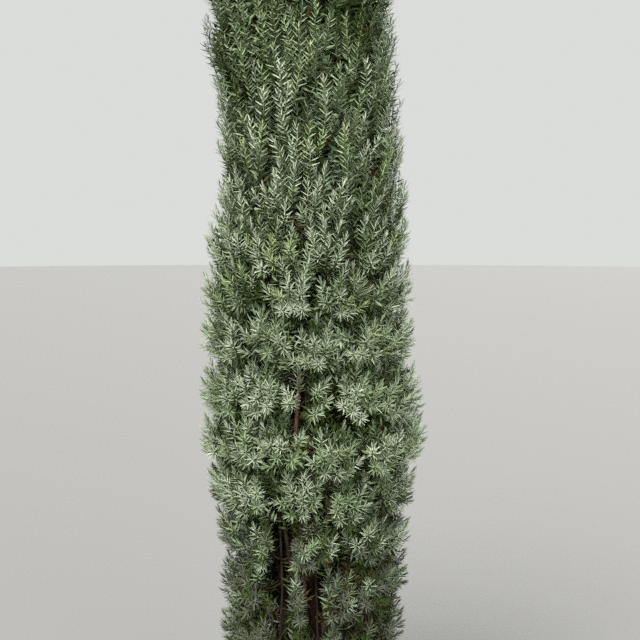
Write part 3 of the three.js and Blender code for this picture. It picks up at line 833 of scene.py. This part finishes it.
def outer_needles(shoots, draw):
    """Blades of three triangles: a narrow foot, then parallel sides that close and bend up to the tip."""
    roots, line, across, forward = needle_lines(shoots.bases, shoots.tips, OUTER_NEEDLES, NEEDLE_LENGTH, draw)
    width = lerp(*NEEDLE_WIDTHS, high_up(shoots.tips))[..., None]
    wide = rolled(across, line, draw.normal(0, OUTER_ROLL, line.shape[:2])) * width / 2
    bend = forward * NEEDLE_LENGTH
    shoulder = roots + line * BLADE_SHOULDER + bend * SHOULDER_BEND
    end = roots + line + bend * TIP_BEND
    tip = wide * BLADE_TIP_WIDTH
    corners = np.stack([roots, shoulder - wide, shoulder + wide, end - tip, end + tip], axis=2)
    return blade_mesh(corners, OUTER_BLADE)


def inner_needles(shoots, draw):
    """Broad blades of two triangles, for the many old needles in the shade."""
    roots, line, across, _ = needle_lines(shoots.bases, shoots.tips, INNER_NEEDLES, INNER_NEEDLE_LENGTH, draw)
    roll = draw.uniform(-INNER_ROLL, INNER_ROLL, line.shape[:2])
    wide = rolled(across, line, roll) * (INNER_NEEDLE_WIDTH / 2)
    middle = roots + line / 2
    corners = np.stack([roots, middle - wide, middle + wide, roots + line], axis=2)
    return blade_mesh(corners, INNER_BLADE)


def blade_mesh(blades, faces):
    """Vertices and triangles of all blades. blades is (shoots, needles, corners, 3)."""
    shoots, needles, corners, _ = blades.shape
    offsets = corners * np.arange(shoots * needles)[:, None, None]
    return blades.reshape(-1, 3), (faces[None] + offsets).reshape(-1, 3)


# Needle tones that are dealt out by shoot
TONES = [
    ("pale", (0.276, 0.322, 0.234)),
    ("glaucous", (0.209, 0.257, 0.172)),
    ("blue_green", (0.158, 0.214, 0.120)),
    ("slate", (0.096, 0.137, 0.076)),
    ("green", (0.150, 0.206, 0.099)),
    ("fresh", (0.204, 0.264, 0.124)),
    ("deep", (0.034, 0.054, 0.014)),
    ("brown", (0.046, 0.036, 0.014)),
    ("dusky", (0.075, 0.086, 0.061)),
]
# Tones with a place on each shoot, all painted shade: for needles' dark feet, and for the shaded needles far
# down it, darker still near the ground
PLACED_TONES = [
    ("foot", (0.048, 0.060, 0.022)),
    ("shaded", (0.145, 0.190, 0.098)),
    ("dim", (0.058, 0.068, 0.044)),
]
SHADED_FOOT, SHADED, DIM = range(len(TONES), len(TONES) + len(PLACED_TONES))
DULL_TONES = ("deep", "brown", "foot")
DULL_GLOSS = 0.08
NEEDLE_GLOSS = 0.17
BARK_GLOSS = 0.12
SHADED_SHARE = 0.42  # of a shoot's needles, from its foot up, in painted shade
SHADED_FOOT_SHARE = 0.70  # of them with a foot in painted shade, a darker tone
# How often each tone shows on the outer domes from the foot up, and heights between which each row passes to
# the next. The foot's row, dark and grey, is painted shade near the ground.
OUTER_SHARES = [
    dict(glaucous=0.02, blue_green=0.05, slate=0.10, deep=0.22, dusky=0.61),
    dict(pale=0.24, glaucous=0.4, blue_green=0.25, slate=0.02, green=0.06, fresh=0.01, deep=0.01, dusky=0.01),
    dict(pale=0.58, glaucous=0.22, blue_green=0.05, slate=0.02, green=0.02, fresh=0.11),
    dict(glaucous=0.03, blue_green=0.36, slate=0.32, green=0.21, fresh=0.03, deep=0.05),
]
FOOT_UP_TO = (0.57, 0.95)
MIDDLE_FROM = (1.28, 1.46)
UPPER_FROM = (1.84, 2.12)
# The same on the under domes and inside the crown, for the foot and above it. Both are darker than outside:
# partly older and browned needles, partly painted shade, most of all at the foot.
UNDER_SHARES = [
    dict(slate=0.08, deep=0.32, brown=0.32, dusky=0.28),
    dict(glaucous=0.06, blue_green=0.28, slate=0.20, green=0.18, deep=0.24, brown=0.04),
]
INNER_SHARES = [
    dict(slate=0.02, deep=0.40, brown=0.52, dusky=0.06),
    dict(blue_green=0.05, slate=0.08, green=0.09, deep=0.66, brown=0.12),
]
THIN_FROM = (2.60, 2.90)  # where inner needles pass to the outer tones
LIGHT_LEANING = 0.75  # how far each clump leans towards light or dark tones
TONE_LEANING = 0.35  # and towards single tones
LEANING_RISE = (0.36, 1.45)  # low and high: how much the leanings count
FRESH_SHOOTS = (0.02, 0.06)  # share of shoots with a fresh green stem, below and above UPPER_FROM


def tone_shares(shares):
    """Shares as an array in the tones' order."""
    return np.array([shares.get(name, 0.0) for name, _ in TONES])


def outer_shares(tips):
    """The tones' shares for shoots of the outer domes."""
    shares = tone_shares(OUTER_SHARES[0])
    for heights, following in zip((FOOT_UP_TO, MIDDLE_FROM, UPPER_FROM), OUTER_SHARES[1:]):
        shares = lerp(shares, tone_shares(following), smoothstep(tips[:, 2:], *heights))
    return shares


def inside_shares(shares, tips):
    """The tones' shares for shoots under the outer domes, darker partly by painted shade, and as outside where
    the crown is thin.
    """
    shares = lerp(*(tone_shares(part) for part in shares), smoothstep(tips[:, 2:], *FOOT_UP_TO))
    return lerp(shares, tone_shares(OUTER_SHARES[-1]), smoothstep(tips[:, 2:], *THIN_FROM))


def deal_tones(shares, shoots, draw):
    """A tone for each shoot by its shares, with its clump's leanings."""
    lightness = np.log([sum(colour) for _, colour in TONES])
    clumps = shoots.clumps
    random = np.random.default_rng(LEANING_SEED).normal(0, 1, (clumps.max() + 1, 1 + len(TONES)))
    to_light = LIGHT_LEANING * random[:, :1] * (lightness - lightness.mean())
    leaning = np.exp(to_light + TONE_LEANING * random[:, 1:])
    weight = shares * leaning[clumps] ** lerp(*LEANING_RISE, high_up(shoots.tips))
    edges = np.cumsum(weight, axis=1) / weight.sum(axis=1, keepdims=True)
    return np.minimum((draw.uniform(0, 1, (len(clumps), 1)) > edges).sum(axis=1), len(TONES) - 1)


def outer_tones(shoots, draw):
    """A tone for each triangle of the outer needles."""
    tones = deal_tones(outer_shares(shoots.tips), shoots, draw)
    tones = np.broadcast_to(tones[:, None, None], (len(tones), OUTER_NEEDLES, len(OUTER_BLADE))).copy()
    height = shoots.tips[:, 2]
    # Painted shade: needles far down each shoot take the shaded tone, or the dim one near the ground
    is_foot = height < draw.uniform(*FOOT_UP_TO, len(height))
    tones[:, : int(SHADED_SHARE * OUTER_NEEDLES)] = np.where(is_foot, DIM, SHADED)[:, None, None]
    # Painted shade on most needles' feet: the dark foot tone low down, the shaded tone higher up
    is_low = height < draw.uniform(*RISE_HEIGHTS, len(height))
    tones[:, : int(SHADED_FOOT_SHARE * OUTER_NEEDLES), 0] = np.where(is_low, SHADED_FOOT, SHADED)[:, None]
    return tones.ravel()


# Materials
BARK_STOPS = ((0.30, 0.35), (0.48, 0.85), (0.62, 1.25), (0.78, 1.9))  # place in the pattern, and gain there
NEEDLE_STOPS = ((0.32, 0.72), (0.68, 1.22))


def material(name, colour, roughness, gloss, vary=None):
    """A material of one colour, which vary can vary over its surface."""
    made = bpy.data.materials.new(name)
    made.use_nodes = True
    shader = made.node_tree.nodes["Principled BSDF"]
    shader.inputs["Base Color"].default_value = (*colour, 1)
    shader.inputs["Roughness"].default_value = roughness
    shader.inputs["Specular IOR Level"].default_value = gloss
    if vary:
        vary(made.node_tree, shader, colour)
    return made


def noise_node(tree, scale, detail):
    noise = tree.nodes.new("ShaderNodeTexNoise")
    noise.inputs["Scale"].default_value = scale
    noise.inputs["Detail"].default_value = detail
    return noise


def colour_by(tree, noise, shader, colour, stops):
    """Varies the base colour with a noise: at each stop it is the colour times the stop's gain."""
    ramp = tree.nodes.new("ShaderNodeValToRGB")
    for position, gain in stops:
        stop = ramp.color_ramp.elements.new(position)
        stop.color = (*(min(1, gain * c) for c in colour), 1)
    ramp.color_ramp.elements.remove(ramp.color_ramp.elements[-1])
    ramp.color_ramp.elements.remove(ramp.color_ramp.elements[0])
    tree.links.new(noise.outputs["Fac"], ramp.inputs["Fac"])
    tree.links.new(ramp.outputs["Color"], shader.inputs["Base Color"])


def needle_nodes(tree, shader, colour):
    """A waxy needle, whose tone wavers from needle to needle."""
    place = tree.nodes.new("ShaderNodeTexCoord")
    noise = noise_node(tree, scale=70, detail=2)
    tree.links.new(place.outputs["Object"], noise.inputs["Vector"])
    colour_by(tree, noise, shader, colour, NEEDLE_STOPS)


def bark_nodes(tree, shader, colour):
    """Thin, upright flakes of reddish-brown bark, paler where they have just peeled."""
    place = tree.nodes.new("ShaderNodeTexCoord")
    stretch = tree.nodes.new("ShaderNodeMapping")
    stretch.inputs["Scale"].default_value = (1, 1, 0.22)
    flakes = noise_node(tree, scale=90, detail=6)
    flakes.inputs["Distortion"].default_value = 0.6
    bump = tree.nodes.new("ShaderNodeBump")
    bump.inputs["Strength"].default_value = 0.6
    bump.inputs["Distance"].default_value = 0.002
    tree.links.new(place.outputs["Object"], stretch.inputs["Vector"])
    tree.links.new(stretch.outputs["Vector"], flakes.inputs["Vector"])
    tree.links.new(flakes.outputs["Fac"], bump.inputs["Height"])
    tree.links.new(bump.outputs["Normal"], shader.inputs["Normal"])
    colour_by(tree, flakes, shader, colour, BARK_STOPS)


def needle_materials():
    """A material for each tone, in the tones' order."""
    made = []
    for name, colour in (*TONES, *PLACED_TONES):
        roughness, gloss = (0.85, DULL_GLOSS) if name in DULL_TONES else (0.50, NEEDLE_GLOSS)
        made.append(material(f"needle_{name}", colour, roughness, gloss, needle_nodes))
    return made


# Pieces of the crown
def twigs_piece(tufts, shoots, barks):
    """Stems, twigs, the branchlets that fan out to the shoots, and the stems in the clefts."""
    parts = []
    share = np.linspace(0, 1, STEM_RINGS)
    for mass in masses:
        radii = lerp(mass["stem_radius"], STEM_TIP_RADIUS, share)
        parts.append(tubes(mass["stem"].at(share)[None], radii, STEM_SIDES))
    starts, ends = twig_lines(tufts)
    centres = np.array([tuft["centre"] for tuft in tufts])
    share = np.linspace(0, 1, len(TWIG_TAPER) - 1)
    paths = lerp(starts[:, None], ends[:, None], share[None, :, None])
    paths -= (4 * TWIG_SAG * share * (1 - share))[None, :, None] * UP
    paths = np.concatenate([paths, centres[:, None]], axis=1)
    parts.append(tubes(paths, TWIG_RADIUS * TWIG_TAPER, TWIG_SIDES))
    roots = np.concatenate([kind.roots for kind in shoots])
    bases = np.concatenate([kind.bases for kind in shoots])
    middle = lerp(roots, bases, BRANCHLET_MIDDLE) - BRANCHLET_SAG * UP
    parts.append(tubes(np.stack([roots, middle, bases], axis=1), BRANCHLET_RADII, FINE_SIDES))
    numbers = [np.zeros(sum(len(faces) for _, faces in parts), dtype=int)]
    share = np.linspace(0, 1, CLEFT_STEM_RINGS)
    for stem in CLEFT_STEMS:
        curve = cleft_stem(stem["heights"], stem["across"], stem["front"])
        parts.append(tubes(curve.at(share)[None], lerp(*stem["radii"], share), STEM_SIDES))
        numbers.append(np.full(len(parts[-1][1]), stem["bark"]))
    piece = add_mesh("twigs", *join(parts), barks, np.concatenate(numbers))
    shade_smooth(piece)
    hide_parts(*(mass_name(index) for index in range(len(masses))))


def shoots_piece(shoots, greens, draw):
    """The outer shoots' own green stems."""
    points, _ = shoot_axes(shoots.bases, shoots.tips, (0, 0.5, 1))
    fresh_share = lerp(*FRESH_SHOOTS, smoothstep(shoots.tips[:, 2], *UPPER_FROM))
    is_fresh = draw.uniform(0, 1, len(points)) < fresh_share
    vertices, triangles = tubes(points, SHOOT_RADII, FINE_SIDES)
    piece = add_mesh("shoots", vertices, triangles, greens, is_fresh.repeat(len(triangles) // len(points)))
    shade_smooth(piece)
    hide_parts(*(mass_name(index) for index in range(len(masses))))


def needle_parts(tufts, outer, under, inner, draw):
    """The needles of each mass in three parts: outer, under and inner."""
    owner = np.array([tuft["mass"] for tuft in tufts])
    parts = []
    for index in range(len(masses)):
        own = outer.only(owner[outer.clumps] == index)
        parts.append(dict(mass=index, blades=outer_needles(own, draw), tones=outer_tones(own, draw)))
        for shoots, shares in ((under, UNDER_SHARES), (inner, INNER_SHARES)):
            own = shoots.only(owner[shoots.clumps] == index)
            blades = inner_needles(own, draw)
            tones = deal_tones(inside_shares(shares, own.tips), own, draw)
            tones = tones.repeat(INNER_NEEDLES * len(INNER_BLADE))
            parts.append(dict(mass=index, blades=blades, tones=tones))
    return parts


def grouped(parts):
    """The parts in their order, in groups of at most PIECE_TRIANGLES."""
    groups, size = [[]], 0
    for part in parts:
        count = len(part["tones"])
        if groups[-1] and size + count > PIECE_TRIANGLES:
            groups.append([])
            size = 0
        groups[-1].append(part)
        size += count
    return groups


def needle_pieces(parts, materials):
    for number, group in enumerate(grouped(parts), start=1):
        vertices, triangles = join([part["blades"] for part in group])
        tones = np.concatenate([part["tones"] for part in group])
        piece = add_mesh(f"needles_{number}", vertices, triangles, materials, tones)
        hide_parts(*sorted({mass_name(part["mass"]) for part in group}))


def crown_pieces(tufts, twig_barks, shoot_greens, tone_materials):
    """Twigs, shoots and needles of all masses."""
    draw = np.random.default_rng(SEED)
    outer = dome_shoots(tufts, OUTER_DOME, draw)
    under = dome_shoots(tufts, UNDER_DOME, draw)
    inner = inner_shoots(tufts, draw)
    twigs_piece(tufts, (outer, under, inner), twig_barks)
    shoots_piece(outer, shoot_greens, draw)
    needle_pieces(needle_parts(tufts, outer, under, inner, draw), tone_materials)


# Stage
PICTURE_SCALE = 0.0027  # real size of a pixel
PICTURE_SIDE = 640
AXIS_PIXEL = 314  # where the crown's axis meets the photograph's lower edge
FOOT_HEIGHT = 0.45  # and its height there
CAMERA_HEIGHT = 1.62
CAMERA_DISTANCE = 3.2
SENSOR_WIDTH = 36
FLOOR_RADIUS = 30.0
FLOOR_CORNERS = 96
FLOOR_COLOUR = (0.12, 0.12, 0.118)
BACKDROP_COLOUR = (0.98, 1.0, 0.97)
BACKDROP_STRENGTH = 0.72
# Even lights, each from the side that its place lies on. spread is in degrees.
LIGHTS = [
    dict(name="sky_light", place=(-1.2, -2.8, 3.8), spread=34, energy=8.2, colour=(1.0, 0.98, 0.94)),
    dict(name="front_light", place=(2.2, -4.2, 1.2), spread=32, energy=2.0, colour=(0.98, 1.0, 0.97)),
    dict(name="back_light", place=(1.6, 3.6, 3.2), spread=40, energy=4.0, colour=(1.0, 0.99, 0.97)),
]


def set_camera():
    """The photograph's view. Its picture plane stands in the crown's axis and starts at FOOT_HEIGHT."""
    aim_height = FOOT_HEIGHT + PICTURE_SCALE * PICTURE_SIDE / 2
    aim_x = axis_at(FOOT_HEIGHT)[0] + PICTURE_SCALE * (PICTURE_SIDE / 2 - AXIS_PIXEL)
    aim = Vector((aim_x, 0, aim_height))
    data = bpy.data.cameras.new("camera")
    data.sensor_width = SENSOR_WIDTH
    camera = bpy.data.objects.new("camera", data)
    bpy.context.scene.collection.objects.link(camera)
    camera.location = (aim_x, -CAMERA_DISTANCE, CAMERA_HEIGHT)
    view = aim - camera.location
    data.angle = 2 * math.atan(PICTURE_SCALE * PICTURE_SIDE / 2 / view.length)
    camera.rotation_euler = view.to_track_quat("-Z", "Y").to_euler()
    bpy.context.scene.camera = camera


def add_soft_light(name, place, spread, energy, colour):
    data = bpy.data.lights.new(name, "SUN")
    data.angle = math.radians(spread)
    data.energy = energy
    data.color = colour
    light = bpy.data.objects.new(name, data)
    light.location = place
    light.rotation_euler = (-Vector(place)).to_track_quat("-Z", "Y").to_euler()
    bpy.context.scene.collection.objects.link(light)


def set_backdrop(scene):
    world = bpy.data.worlds.new("studio")
    world.use_nodes = True
    background = world.node_tree.nodes["Background"]
    background.inputs["Color"].default_value = (*BACKDROP_COLOUR, 1)
    background.inputs["Strength"].default_value = BACKDROP_STRENGTH
    scene.world = world


def add_floor(scene):
    mesh = bpy.data.meshes.new("floor")
    turns = 2 * math.pi * np.arange(FLOOR_CORNERS) / FLOOR_CORNERS
    rim = [(FLOOR_RADIUS * math.cos(turn), FLOOR_RADIUS * math.sin(turn), 0) for turn in turns]
    mesh.from_pydata(rim, [], [range(FLOOR_CORNERS)])
    mesh.materials.append(material("pale_floor", FLOOR_COLOUR, 0.95, 0.5))
    floor = bpy.data.objects.new("floor", mesh)
    scene.collection.objects.link(floor)


def set_stage():
    scene = bpy.context.scene
    scene.view_settings.view_transform = "Standard"
    scene.cycles.filter_width = 1.5
    scene.cycles.use_denoising = False
    set_backdrop(scene)
    for light in LIGHTS:
        add_soft_light(**light)
    add_floor(scene)


grow_limbs()
set_camera()
# The yew's and the twigs' bark are dark: partly the bark's own reddish-brown, partly painted shade from the
# crown. The lighter stem bark is that bark with painted light, for a lit stem.
bark = material("yew_bark", (0.048, 0.027, 0.019), 0.9, BARK_GLOSS, bark_nodes)
twig_barks = [
    material("twig_bark", (0.028, 0.019, 0.014), 0.85, BARK_GLOSS, bark_nodes),
    material("lit_stem_bark", (0.115, 0.066, 0.046), 0.85, BARK_GLOSS, bark_nodes),
]
shoot_greens = [
    material("shoot_dull", (0.065, 0.085, 0.035), 0.7, NEEDLE_GLOSS, needle_nodes),
    material("shoot_fresh", (0.22, 0.28, 0.10), 0.6, NEEDLE_GLOSS, needle_nodes),
]
trunk_piece(bark)
boughs_piece(bark)
crown_pieces(deal_tufts(), twig_barks, shoot_greens, needle_materials())
set_stage()
